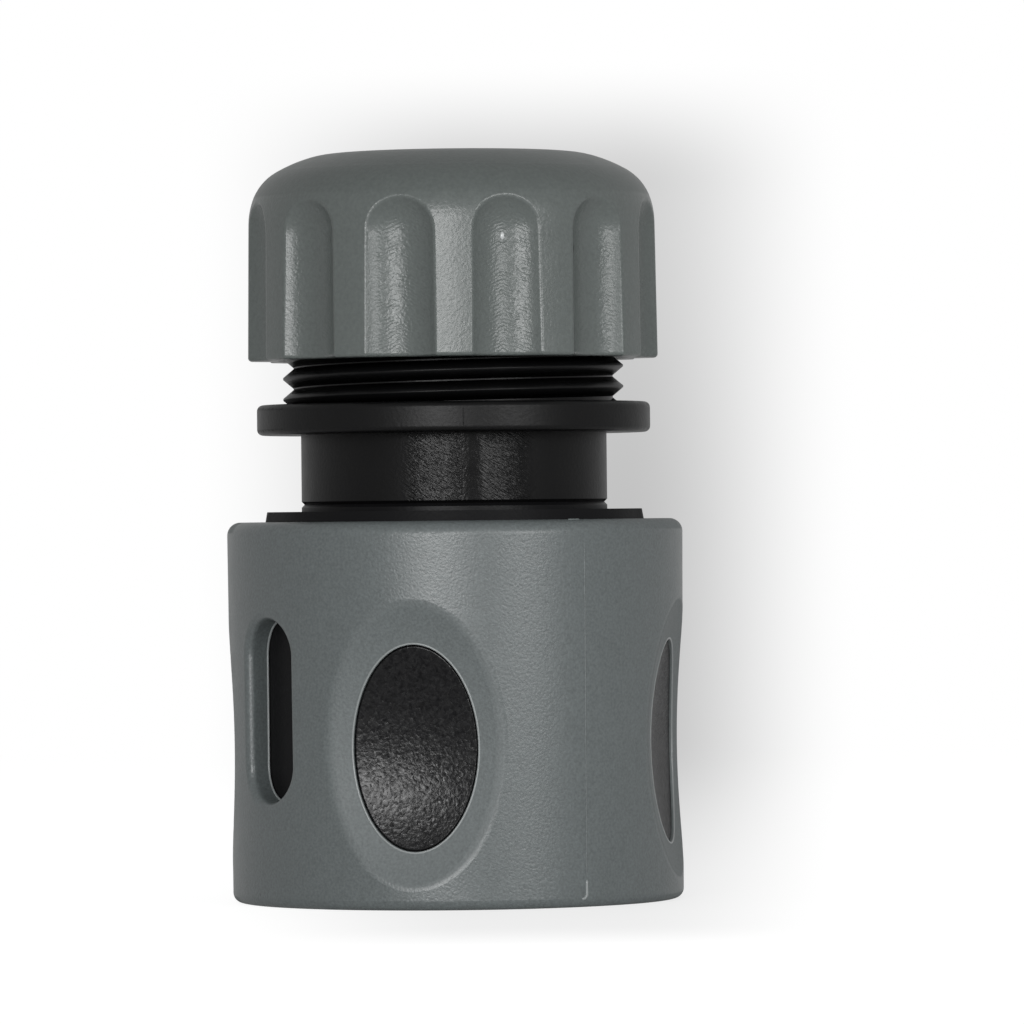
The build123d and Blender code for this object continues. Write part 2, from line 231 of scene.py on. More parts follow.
class Recipe(Graph):
    """A Geometry Nodes tree with named sizes, which is turned into a plain mesh."""

    def __init__(self, name: str, lengths: dict[str, float], others: dict[str, float]) -> None:
        """Starts the tree with an input for each size.

        Args:
            name: the name of the tree and of its piece.
            lengths: each length's name and value in millimetres. The tree has it in metres.
            others: the name and value of each size that isn't a length.
        """
        super().__init__(bpy.data.node_groups.new(name, "GeometryNodeTree"))
        self.name = name
        face = self.tree.interface
        face.new_socket("Geometry", in_out="INPUT", socket_type="NodeSocketGeometry")
        face.new_socket("Geometry", in_out="OUTPUT", socket_type="NodeSocketGeometry")
        self.values = {}
        sizes = {size: value * MM for size, value in lengths.items()} | others
        for size, value in sizes.items():
            socket = face.new_socket(size, in_out="INPUT", socket_type="NodeSocketFloat")
            self.values[socket.identifier] = value
        self.entry = self.add("NodeGroupInput")
        self.exit = self.add("NodeGroupOutput")

    def size(self, name: str) -> Wire:
        """One of the named sizes, inside the tree."""
        return Wire(self, self.entry.outputs[name])

    def spiral(self, radius: Wire, rise: Wire, turns: Wire, steps: int) -> NodeSocket:
        """Winds a right-handed spiral up from the floor.

        Args:
            radius: its radius.
            rise: its height.
            turns: how many turns it has.
            steps: how many points each turn has.

        Returns:
            The spiral's curve.
        """
        inputs = {
            "Resolution": steps, "Rotations": turns, "Start Radius": radius, "End Radius": radius, "Height": rise,
            "Reverse": True,
        }
        return self.add("GeometryNodeCurveSpiral", inputs).outputs[0]

    def bar(self, curve: NodeSocket, width: str, sides: int, swell: Number = 1.0) -> NodeSocket:
        """Runs a round section along a curve.

        Args:
            curve: the curve.
            width: the named size that gives the bar's width.
            sides: how many sides the section has.
            swell: the share of the width at each point.

        Returns:
            The bar's mesh, capped and smooth.
        """
        section = self.add("GeometryNodeCurvePrimitiveCircle", {"Resolution": sides, "Radius": self.size(width) * 0.5})
        inputs = {"Curve": curve, "Profile Curve": section.outputs[0], "Scale": swell, "Fill Caps": True}
        bar = self.add("GeometryNodeCurveToMesh", inputs)
        return self.add("GeometryNodeSetShadeSmooth", {"Geometry": bar.outputs[0]}).outputs[0]

    def bake(self, geometry: NodeSocket, finish: Material, start: Mesh | None = None) -> Object:
        """Ends the tree, runs it once and keeps the result as a plain mesh.

        Args:
            geometry: the socket that gives the finished geometry.
            finish: the material that the piece takes.
            start: the mesh that the tree starts from, if it needs one.

        Returns:
            The piece, at the origin and without modifiers.
        """
        real = self.add("GeometryNodeRealizeInstances", {"Geometry": geometry})
        dressed = self.add("GeometryNodeSetMaterial", {"Geometry": real.outputs[0], "Material": finish})
        self.feed(self.exit.inputs[0], dressed.outputs[0])
        piece = show(self.name, start or bpy.data.meshes.new(self.name))
        modifier = piece.modifiers.new(self.name, "NODES")
        modifier.node_group = self.tree
        for identifier, value in self.values.items():
            modifier[identifier] = value
        evaluated = piece.evaluated_get(bpy.context.evaluated_depsgraph_get())
        mesh = bpy.data.meshes.new_from_object(evaluated)
        piece.modifiers.clear()
        piece.data = mesh
        mesh.name = self.name
        return piece


def show(name: str, data: ID) -> Object:
    """Puts a new object with this mesh, camera or lamp in the scene."""
    bpy.context.scene.collection.objects.link(thing := bpy.data.objects.new(name, data))
    return thing


def new_material(name: str) -> tuple[Material, Graph, Node]:
    """Starts a material with an empty tree.

    Args:
        name: the material's name.

    Returns:
        The material, its graph and its output node.
    """
    material = bpy.data.materials.new(name)
    material.use_nodes = True
    material.node_tree.nodes.clear()
    graph = Graph(material.node_tree)
    return material, graph, graph.add("ShaderNodeOutputMaterial")


class Place:
    """Where a point of a surface lies: X, Y, height and distance from the axis in millimetres, and its angle."""

    def __init__(self, graph: Graph) -> None:
        """Reads the object coordinates in a material's graph."""
        self.graph = graph
        self.vector = graph.wire("ShaderNodeTexCoord", "Object")
        self.x, self.y, self.height = (part * PER_MM for part in graph.split(self.vector))
        self.radius = self.x.span(self.y)
        self.angle = self.y.math("ARCTAN2", self.x).math("DEGREES")

    def noise(self, size: float, detail: float, twist: float = 0.0) -> Wire:
        """Adds a noise of one grain size.

        Args:
            size: width of one grain, in millimetres.
            detail: how many finer layers it has.
            twist: how far its grains are drawn out into curls.

        Returns:
            The noise, about 0 in the middle and 0.5 at its crests.
        """
        inputs = {"Vector": self.vector, "Scale": PER_MM / size, "Detail": detail, "Distortion": twist}
        return self.graph.wire("ShaderNodeTexNoise", 0, inputs) - 0.5


@dataclass(frozen=True)
class Surface:
    """What a finish does at a point: its tone, its height in millimetres, its roughness and its gloss."""

    tone: Wire
    height: Wire
    roughness: Wire
    gloss: Wire | float


@dataclass(frozen=True)
class Spot:
    """A small darker spot in the plastic, at an angle and a height on the skin."""

    angle: float
    height: float
    half_width: float
    half_height: float
    darkening: float
    fade: Edge = (0.3, 1.0)

    def shade(self, place: Place) -> Wire:
        """Gives the spot's effect on the tone.

        Args:
            place: the point on the surface.

        Returns:
            1 away from the spot and less on it.
        """
        turned = (place.angle - self.angle).wrap(180.0)
        aside = turned * place.radius * (math.radians(1.0) / self.half_width)
        above = (place.height - self.height) / self.half_height
        return 1.0 - (1.0 - aside.span(above).ramp(*self.fade)) * self.darkening


@dataclass(frozen=True)
class Finish:
    """A finish that is slightly mottled and has a fine grain, as plastic from a spark-eroded mould has."""

    name: str
    colour: Triple
    roughness: float
    gloss: float = 0.5
    metallic: float = 0.0
    mottle: float = 0.05
    mottle_size: float = 1.6
    mottle_detail: float = 3.0
    mottle_roughness: float = 0.1
    grain: float = 0.06
    grain_size: float = 0.3
    grain_height: float = 0.008
    spots: tuple[Spot, ...] = ()

    def surface(self, place: Place) -> Surface:
        """Describes the even, slightly mottled surface.

        Args:
            place: the point on the surface.

        Returns:
            What the finish does there.
        """
        mottle = place.noise(self.mottle_size, self.mottle_detail)
        grain = place.noise(self.grain_size, detail=2.0)
        tone = 1.0 + mottle * (2 * self.mottle) + grain * (2 * self.grain)
        for spot in self.spots:
            tone = tone * spot.shade(place)
        roughness = self.roughness + mottle * self.mottle_roughness
        return Surface(tone, grain * (2 * self.grain_height), roughness, self.gloss)

    def build(self) -> Material:
        """Makes the material.

        Returns:
            The material.
        """
        material, graph, output = new_material(self.name)
        surface = self.surface(Place(graph))
        tint = graph.add(
            "ShaderNodeMix", {0: 1.0, 6: (*self.colour, 1.0), 7: graph.grey(surface.tone)},
            data_type="RGBA", blend_type="MULTIPLY",
        )
        bump = graph.add("ShaderNodeBump", {"Strength": 1.0, "Distance": MM, "Height": surface.height})
        inputs = {
            "Base Color": tint.outputs[2], "Metallic": self.metallic, "Roughness": surface.roughness,
            "Specular IOR Level": surface.gloss, "Normal": bump.outputs[0],
        }
        shader = graph.add("ShaderNodeBsdfPrincipled", inputs)
        graph.feed(output.inputs["Surface"], shader.outputs[0])
        return material


@dataclass(frozen=True)
class ShellPlastic(Finish):
    """The grip shell's plastic: a softer sheen in the dishes and on their rims than on the skin."""

    foot_radius: float = 18.98
    top_radius: float = 19.2
    skin_height: float = 31.95
    slot_edge: Edge = (18.0, 22.0)
    hollow_depth: Edge = (0.012, 0.06)
    hollow_roughness: float = 0.2

    def surface(self, place: Place) -> Surface:
        """Adds the softer sheen to the even surface, but for the slots.

        Args:
            place: the point on the surface.

        Returns:
            What the finish does there.
        """
        plain = super().surface(place)
        full = place.height * ((self.top_radius - self.foot_radius) / self.skin_height) + self.foot_radius
        beside = place.angle.wrap(90.0).math("ABSOLUTE")
        hollow = (full - place.radius).ramp(*self.hollow_depth) * beside.ramp(*self.slot_edge)
        return replace(plain, roughness=plain.roughness + hollow * self.hollow_roughness)


@dataclass(frozen=True)
class FlutedPlastic(Finish):
    """The nut's plastic: chatter marks in the flutes and a sparkling grain below the smoother dome."""

    flute_count: int = 12
    flute_start: float = 11.6
    flute_edge: Edge = (2.0, 2.5)
    flute_top: float = 55.85
    nut_radius: float = 17.27
    dome_edge: Edge = (59.05, 59.35)
    dome_painted_shade: float = 0.94
    dome_roughness: float = 0.08
    chatter_pitch: float = 0.32
    chatter_lean: float = 0.45
    chatter_height: float = 0.005
    drift: float = 0.5
    drift_size: float = 0.7
    patch_size: float = 1.3
    patch_edge: Edge = (-0.12, 0.12)
    scale_size: float = 0.3
    scale_height: float = 0.012
    sparkle_size: float = 0.24

    def surface(self, place: Place) -> Surface:
        """Adds the chatter marks, the dome's smoother finish and its painted shade to the even surface.

        Args:
            place: the point on the surface.

        Returns:
            What the finish does there.
        """
        plain = super().surface(place)
        folded = (place.angle - self.flute_start).wrap(180 / self.flute_count)
        across = (folded * math.radians(self.nut_radius)).math("ABSOLUTE")
        above = (place.height - self.flute_top).most(0.0)
        flute = 1.0 - across.span(above).ramp(*self.flute_edge)
        side = 1.0 - place.height.ramp(*self.dome_edge)
        drift = place.noise(self.drift_size, detail=2.0) * self.drift
        phase = (place.height + across * self.chatter_lean + drift) * (2 * math.pi / self.chatter_pitch)
        patches = place.noise(self.patch_size, detail=1.0).ramp(*self.patch_edge)
        waves = phase.math("SINE") * patches * self.chatter_height
        scales = place.noise(self.scale_size, detail=0.6, twist=0.9) * (2 * self.scale_height)
        sparkle = place.noise(self.sparkle_size, detail=1.0, twist=0.6) * side
        # Painted shade: the dome's tone is painted a little darker than the fluted side.
        tone = plain.tone * (self.dome_painted_shade + side * (1.0 - self.dome_painted_shade))
        relief = plain.height + (waves + scales) * flute * side + sparkle * (2 * self.grain_height)
        roughness = plain.roughness + (1.0 - side) * self.dome_roughness
        return replace(plain, tone=tone, height=relief, roughness=roughness)


@dataclass(frozen=True)
class PadPlastic(Finish):
    """The grip core's plastic: a curled leather-like grain on the pads, plain and duller elsewhere."""

    pad_skin: Edge = (17.02, 17.12)
    pad_top: Edge = (24.0, 25.0)
    curl_size: float = 0.3
    curl_height: float = 0.0055
    curl_sheen: float = 2.6
    least_sheen: float = 0.1
    rest_roughness: float = 0.2
    rest_gloss: float = 0.35
    grazing: Edge = (0.5, 0.85)
    grazing_gloss: float = 0.1

    def surface(self, place: Place) -> Surface:
        """Adds the curled grain to the even surface, and dulls it where it is seen at a low angle.

        Args:
            place: the point on the surface.

        Returns:
            What the finish does there.
        """
        plain = super().surface(place)
        pad = place.radius.ramp(*self.pad_skin) * (1.0 - place.height.ramp(*self.pad_top))
        curls = place.noise(self.curl_size, detail=0.6, twist=0.9)
        roughness = plain.roughness + (1.0 - pad) * self.rest_roughness
        facing = place.graph.wire("ShaderNodeLayerWeight", "Facing", {"Blend": 0.5})
        dulled = 1.0 - facing.ramp(*self.grazing) * (1.0 - self.grazing_gloss)
        sheen = (curls * pad * self.curl_sheen + 1.0).most(self.least_sheen)
        gloss = (self.rest_gloss + pad * (1.0 - self.rest_gloss)) * dulled * sheen * self.gloss
        relief = plain.height + curls * pad * (2 * self.curl_height)
        return replace(plain, height=relief, roughness=roughness, gloss=gloss)


@dataclass(frozen=True)
class NeckPlastic(Finish):
    """The upper body's plastic: slanting spark marks on the neck, with a smoother strip beside its parting line."""

    neck_radius: float = 12.88
    neck_skin: Edge = (12.885, 12.895)
    neck_foot: Edge = (33.4, 33.5)
    neck_top: Edge = (39.15, 39.25)
    seam_angle: float = 239.0
    strip_start: Edge = (-0.6, -0.2)
    strip_end: Edge = (6.0, 11.0)
    strip_roughness: float = 0.2
    stroke_length: float = 0.9
    stroke_width: float = 0.14
    stroke_slant: float = 33.0
    stroke_height: float = 0.035
    marked_shift: float = 3.5
    marked_edge: Edge = (20.0, 28.0)
    marked_roughness: float = 0.15

    def surface(self, place: Place) -> Surface:
        """Adds the spark marks and the smoother strip to the even surface.

        Args:
            place: the point on the surface.

        Returns:
            What the finish does there.
        """
        plain = super().surface(place)
        graph, angle, height = place.graph, place.angle, place.height
        on_neck = height.ramp(*self.neck_foot) * (1.0 - height.ramp(*self.neck_top))
        on_neck = on_neck * (1.0 - place.radius.ramp(*self.neck_skin))
        beside = (angle - self.seam_angle).wrap(90.0)
        strip = beside.ramp(*self.strip_start) * (1.0 - beside.ramp(*self.strip_end))
        from_middle = (beside - self.marked_shift).math("ABSOLUTE")
        marked = on_neck * (1.0 - from_middle.ramp(*self.marked_edge)) * (1.0 - strip)
        slant = math.radians(self.stroke_slant)
        arc = angle.math("WRAP", 360.0, 0.0) * math.radians(self.neck_radius)
        along = arc * math.cos(slant) - height * math.sin(slant)
        across = arc * math.sin(slant) + height * math.cos(slant)
        drawn = graph.join(along * (1 / self.stroke_length), across * (1 / self.stroke_width), 0.0)
        strokes = graph.wire("ShaderNodeTexNoise", 0, {"Vector": drawn, "Scale": 1.0, "Detail": 2.0}) - 0.5
        relief = plain.height + strokes * marked * (2 * self.stroke_height)
        roughness = plain.roughness - marked * self.marked_roughness - on_neck * strip * self.strip_roughness
        return replace(plain, height=relief, roughness=roughness)


GREY_SHELL = ShellPlastic(
    "grey shell plastic", (0.112, 0.128, 0.129), roughness=0.34, gloss=0.6,
    grain=0.4, grain_size=0.22, grain_height=0.011,
    spots=(Spot(227.2, 29.0, 1.1, 0.3, 0.14), Spot(176.0, 1.05, 0.16, 0.16, 0.5)),
)
GREY_NUT = FlutedPlastic(
    "grey nut plastic", (0.112, 0.127, 0.122), roughness=0.3, gloss=0.5, grain=0.2,
    spots=(Spot(273.0, 54.3, 0.3, 0.45, 0.9),),
)
# Painted highlight: the lips round the windows and slots take this pale grey in place of the light on their rounded
# edges; on the flash at the seam's foot it is the flash's own paler grey.
PALE_EDGE_HIGHLIGHT = Finish("pale grey edge with painted highlight", (0.26, 0.28, 0.28), roughness=0.3, gloss=0.6)
# Painted highlight: the gate stub is painted near white in place of the light that its small nub catches.
STUB_PAINTED_HIGHLIGHT = Finish("gate stub with painted highlight", (0.55, 0.57, 0.57), roughness=0.25, gloss=0.8)
BLACK_CORE = PadPlastic("black core plastic", (0.008, 0.008, 0.0086), roughness=0.22, gloss=0.2)
BLACK_BODY = NeckPlastic("black body plastic", (0.003, 0.003, 0.0032), roughness=0.38, gloss=0.19)
BLACK_SOCKET = Finish("black socket plastic", (0.005, 0.005, 0.0055), roughness=0.4, gloss=0.16)
COLLET_WHITE = Finish("natural collet plastic", (0.6, 0.6, 0.56), roughness=0.4, gloss=0.5)
JAW_WHITE = Finish("pale jaw plastic", (0.52, 0.53, 0.52), roughness=0.35, gloss=0.5)
SEAL_RUBBER = Finish("black seal rubber", (0.01, 0.01, 0.01), roughness=0.6, gloss=0.3)
SPRING_STEEL = Finish(
    "drawn spring wire", (0.55, 0.54, 0.52), roughness=0.32, metallic=1.0, mottle=0.0, mottle_size=0.4,
    mottle_detail=2.0, mottle_roughness=0.2, grain=0.0, grain_height=0.0,
)


@dataclass(frozen=True)
class Coat:
    """What a piece of this script takes: its finish and the body that it rides on, with a slot of the record that
    nothing reads.
    """

    finish: Material
    slot: Slot
    body: Body

    def put_on(self, piece: Object) -> None:
        """Turns a piece's faces outwards and lets it ride on the body.

        Args:
            piece: a finished piece at the origin.
        """
        shape = bmesh.new()
        shape.from_mesh(piece.data)
        bmesh.ops.remove_doubles(shape, verts=shape.verts, dist=SAME_POINT)
        bmesh.ops.recalc_face_normals(shape, faces=shape.faces)
        shape.to_mesh(piece.data)
        shape.free()
        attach(piece, self.body.value)
        LOG.info("%s: %d faces on %s", piece.name, len(piece.data.polygons), self.body.value)


@dataclass
class Assembly:
    """A sub-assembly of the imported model, which knows the model's nodes by name."""

    nodes: dict[str, Object]

    def dress(self, name: str, finish: Material) -> None:
        """Gives a CAD node its finish.

        Args:
            name: the node's name.
            finish: its material.
        """
        materials = self.nodes[name].data.materials
        for index in range(len(materials)):
            materials[index] = finish
        LOG.info("%s: %s", name, finish.name)


def ring_faces(rings: int, steps: int) -> list[tuple[int, ...]]:
    """Lists the faces of a turned surface: a disc in its first ring and a band from each ring to the next.

    Args:
        rings: how many rings of points it has.
        steps: how many points each ring has.

    Returns:
        The numbers of each face's points.
    """
    faces = [tuple(range(steps))]
    for low in range(0, (rings - 1) * steps, steps):
        high = low + steps
        for step in range(steps):
            after = (step + 1) % steps
            faces.append((low + step, high + step, high + after, low + after))
    return faces


@dataclass(frozen=True)
class ThreadRidge:
    """A V-shaped thread ridge wound round the axis, right-handed, fading out at both ends."""

    name: str
    root_radius: float
    crest_radius: float
    foot: float
    top: float
    pitch: float = 1.75
    root_width: float = 1.66
    crest_width: float = 0.14
    start_angle: float = 0.0
    fade_turns: float = 0.1
    end_swell: float = 0.01
    steps_per_turn: int = 96

    def build(self, coat: Coat) -> None:
        """Winds the ridge's section along a spiral.

        Args:
            coat: the finish, slot and body of the ridge.
        """
        rise = self.top - self.foot
        turns = rise / self.pitch
        lengths = {
            "Root radius": self.root_radius, "Ridge height": self.crest_radius - self.root_radius,
            "Root width": self.root_width, "Crest width": self.crest_width, "Foot": self.foot, "Rise": rise,
        }
        others = {"Turns": turns, "Start angle": math.radians(self.start_angle), "Fade": self.fade_turns / turns}
        recipe = Recipe(self.name, lengths, others)
        radius, height, rounds = (recipe.size(name) for name in ("Root radius", "Rise", "Turns"))
        inputs = {
            "Geometry": recipe.spiral(radius, height, rounds, self.steps_per_turn),
            "Translation": recipe.join(0.0, 0.0, recipe.size("Foot")),
            "Rotation": recipe.join(0.0, 0.0, recipe.size("Start angle")),
        }
        placed = recipe.add("GeometryNodeTransform", inputs)
        upright = recipe.add("GeometryNodeSetCurveNormal", {"Curve": placed.outputs[0]}, mode="Z_UP")
        along = recipe.wire("GeometryNodeSplineParameter", "Factor")
        fade = recipe.size("Fade")
        swell = along.ramp(0.0, fade) * (1.0 - along).ramp(0.0, fade) + self.end_swell
        outwards = recipe.size("Ridge height")
        root, crest = (recipe.size(name) * 0.5 for name in ("Root width", "Crest width"))
        corners = ((0.0, 0.0 - root), (outwards, 0.0 - crest), (outwards, crest), (0.0, root))
        inputs = {f"Point {number}": recipe.join(*corner, 0.0) for number, corner in enumerate(corners, 1)}
        section = recipe.add("GeometryNodeCurvePrimitiveQuadrilateral", inputs, mode="POINTS").outputs[0]
        inputs = {"Curve": upright.outputs[0], "Profile Curve": section, "Scale": swell, "Fill Caps": True}
        ridge = recipe.add("GeometryNodeCurveToMesh", inputs)
        coat.put_on(recipe.bake(ridge.outputs[0], coat.finish))


def upright_path(angle: float, steps: Sequence[tuple[float, float]], slew: Sequence[float] = ()) -> list[Vector]:
    """Places a path in the upright plane through the connector's axis.

    Args:
        angle: the plane's angle round the axis, in degrees.
        steps: radius and height of each point.
        slew: further turn of each point, in degrees, where the path leaves the plane.

    Returns:
        The points, in millimetres.
    """
    points = []
    for (radius, height), extra in zip(steps, slew or (0.0,) * len(steps)):
        turn = math.radians(angle + extra)
        points.append(Vector((radius * math.cos(turn), radius * math.sin(turn), height)))
    return points


@dataclass
class Bead:
    """A fine raised line that the mould leaves, along a path in space. Its open ends taper."""

    name: str
    points: Sequence[Vector]
    width: float = 0.14
    closed: bool = False
    section_sides: int = 12
    cuts: int = 6
    taper: float = 0.08
    end_swell: float = 0.1

    def build(self, coat: Coat) -> None:
        """Runs a round section along the path.

        Args:
            coat: the finish, slot and body of the bead.
        """
        edges = [(step, step + 1) for step in range(len(self.points) - 1)]
        if self.closed:
            edges.append((len(self.points) - 1, 0))
        start = bpy.data.meshes.new(self.name)
        start.from_pydata([point * MM for point in self.points], edges, [])
        recipe = Recipe(self.name, {"Width": self.width}, {"Taper": self.taper})
        line = recipe.add("GeometryNodeMeshToCurve", {"Mesh": recipe.entry.outputs["Geometry"]})
        cuts = 0 if self.closed else self.cuts
        fine = recipe.add("GeometryNodeSubdivideCurve", {"Curve": line.outputs[0], "Cuts": cuts})
        along = recipe.wire("GeometryNodeSplineParameter", "Factor")
        taper = recipe.size("Taper")
        swell = (along / taper).least((1.0 - along) / taper).least(1.0).most(1.0 if self.closed else self.end_swell)
        bead = recipe.bar(fine.outputs[0], "Width", self.section_sides, swell)
        coat.put_on(recipe.bake(bead, coat.finish, start))


@dataclass(frozen=True)
class Turning:
    """A small round mark turned about its own axis, which points outwards from the connector.

    Its outline gives reach and rise from the rim to the middle.
    """

    name: str
    outline: Outline
    angle: float
    radius: float
    height: float
    stretch: float = 1.0
    steps: int = 24

    def build(self, coat: Coat) -> None:
        """Turns the outline.

        Args:
            coat: the finish, slot and body of the mark.
        """
        turn = math.radians(self.angle)
        outward = Vector((math.cos(turn), math.sin(turn), 0.0))
        side = Vector((-math.sin(turn), math.cos(turn), 0.0))
        up = Vector((0.0, 0.0, 1.0))
        middle = outward * self.radius + up * self.height
        rings = self.outline[:-1]
        points = []
        for reach, rise in rings:
            for step in range(self.steps):
                around = 2 * math.pi * step / self.steps
                offset = side * math.cos(around) + up * (self.stretch * math.sin(around))
                points.append((middle + offset * reach + outward * rise) * MM)
        faces = ring_faces(len(rings), self.steps)
        last = len(points) - self.steps
        faces += [(last + step, len(points), last + (step + 1) % self.steps) for step in range(self.steps)]
        points.append((middle + outward * self.outline[-1][1]) * MM)
        mesh = bpy.data.meshes.new(self.name)
        mesh.from_pydata(points, [], faces)
        mesh.shade_smooth()
        mesh.materials.append(coat.finish)
        coat.put_on(show(self.name, mesh))


@dataclass
class Nut(Assembly):
    """The fluted clamping nut with its inner thread and gate mark, and the collet that it holds."""

    thread: ThreadRidge = ThreadRidge(
        "nut_thread", root_radius=14.45, crest_radius=13.62, foot=46.3, top=57.5, root_width=1.5, start_angle=81.0,
    )
    gate: Turning = Turning(
        "gate_mark", ((0.62, -0.3), (0.62, 0.005), (0.54, 0.03), (0.34, 0.01), (0.0, 0.0)),
        angle=251.5, radius=15.77, height=55.37,
    )
    stub_outline: Outline = ((0.19, -0.1), (0.19, 0.06), (0.15, 0.12), (0.08, 0.16), (0.0, 0.17))
    stub_stretch: float = 1.8

    def build(self) -> None:
        """Dresses the nut and the collet and adds the thread and the gate mark."""
        grey = Coat(GREY_NUT.build(), Slot.GREY, Body.NUT)
        self.dress("hose_nut", grey.finish)
        self.dress("clamping_collet", COLLET_WHITE.build())
        self.thread.build(grey)
        self.gate.build(grey)
        # The stub's near-white coat is a painted highlight on the nub.
        stub = replace(self.gate, name="gate_stub", outline=self.stub_outline, stretch=self.stub_stretch)
        stub.build(Coat(STUB_PAINTED_HIGHLIGHT.build(), Slot.GREY, Body.NUT))


@dataclass
class UpperBody(Assembly):
    """The black upper body: neck, flange, threaded cup and spigot, with its thread and parting lines."""

    neck_radius: float = NeckPlastic.neck_radius
    neck_foot: float = 33.7
    flange_base: float = 39.25
    flange_top: float = 41.8
    flange_radius: float = 16.57
    thread: ThreadRidge = ThreadRidge(
        "cup_thread", root_radius=13.43, crest_radius=14.33, foot=41.2, top=54.0, start_angle=-68.0,
    )
    seam_angle: float = NeckPlastic.seam_angle
    neck_seam_sink: float = 0.03
    rim_seam_sink: float = 0.02
    rim_seam_width: float = 0.1
    rim_round: float = 0.4

    def build(self) -> None:
        """Dresses the body and its seal and adds the thread and the parting lines."""
        black = Coat(BLACK_BODY.build(), Slot.BLACK, Body.CONNECTOR)
        self.dress("hose_tail", black.finish)
        self.dress("body_seal", SEAL_RUBBER.build())
        self.thread.build(black)
        on_neck = self.neck_radius - self.neck_seam_sink
        on_rim = self.flange_radius - self.rim_seam_sink
        neck = ((on_neck, self.neck_foot), (on_neck, self.flange_base + self.rim_seam_sink))
        rim = ((on_rim, self.flange_base + self.rim_round), (on_rim, self.flange_top - self.rim_round))
        for side, extra in SIDES:
            angle = self.seam_angle + extra
            Bead(f"neck_seam_{side}", upright_path(angle, neck)).build(black)
            Bead(f"flange_seam_{side}", upright_path(angle, rim), self.rim_seam_width).build(black)


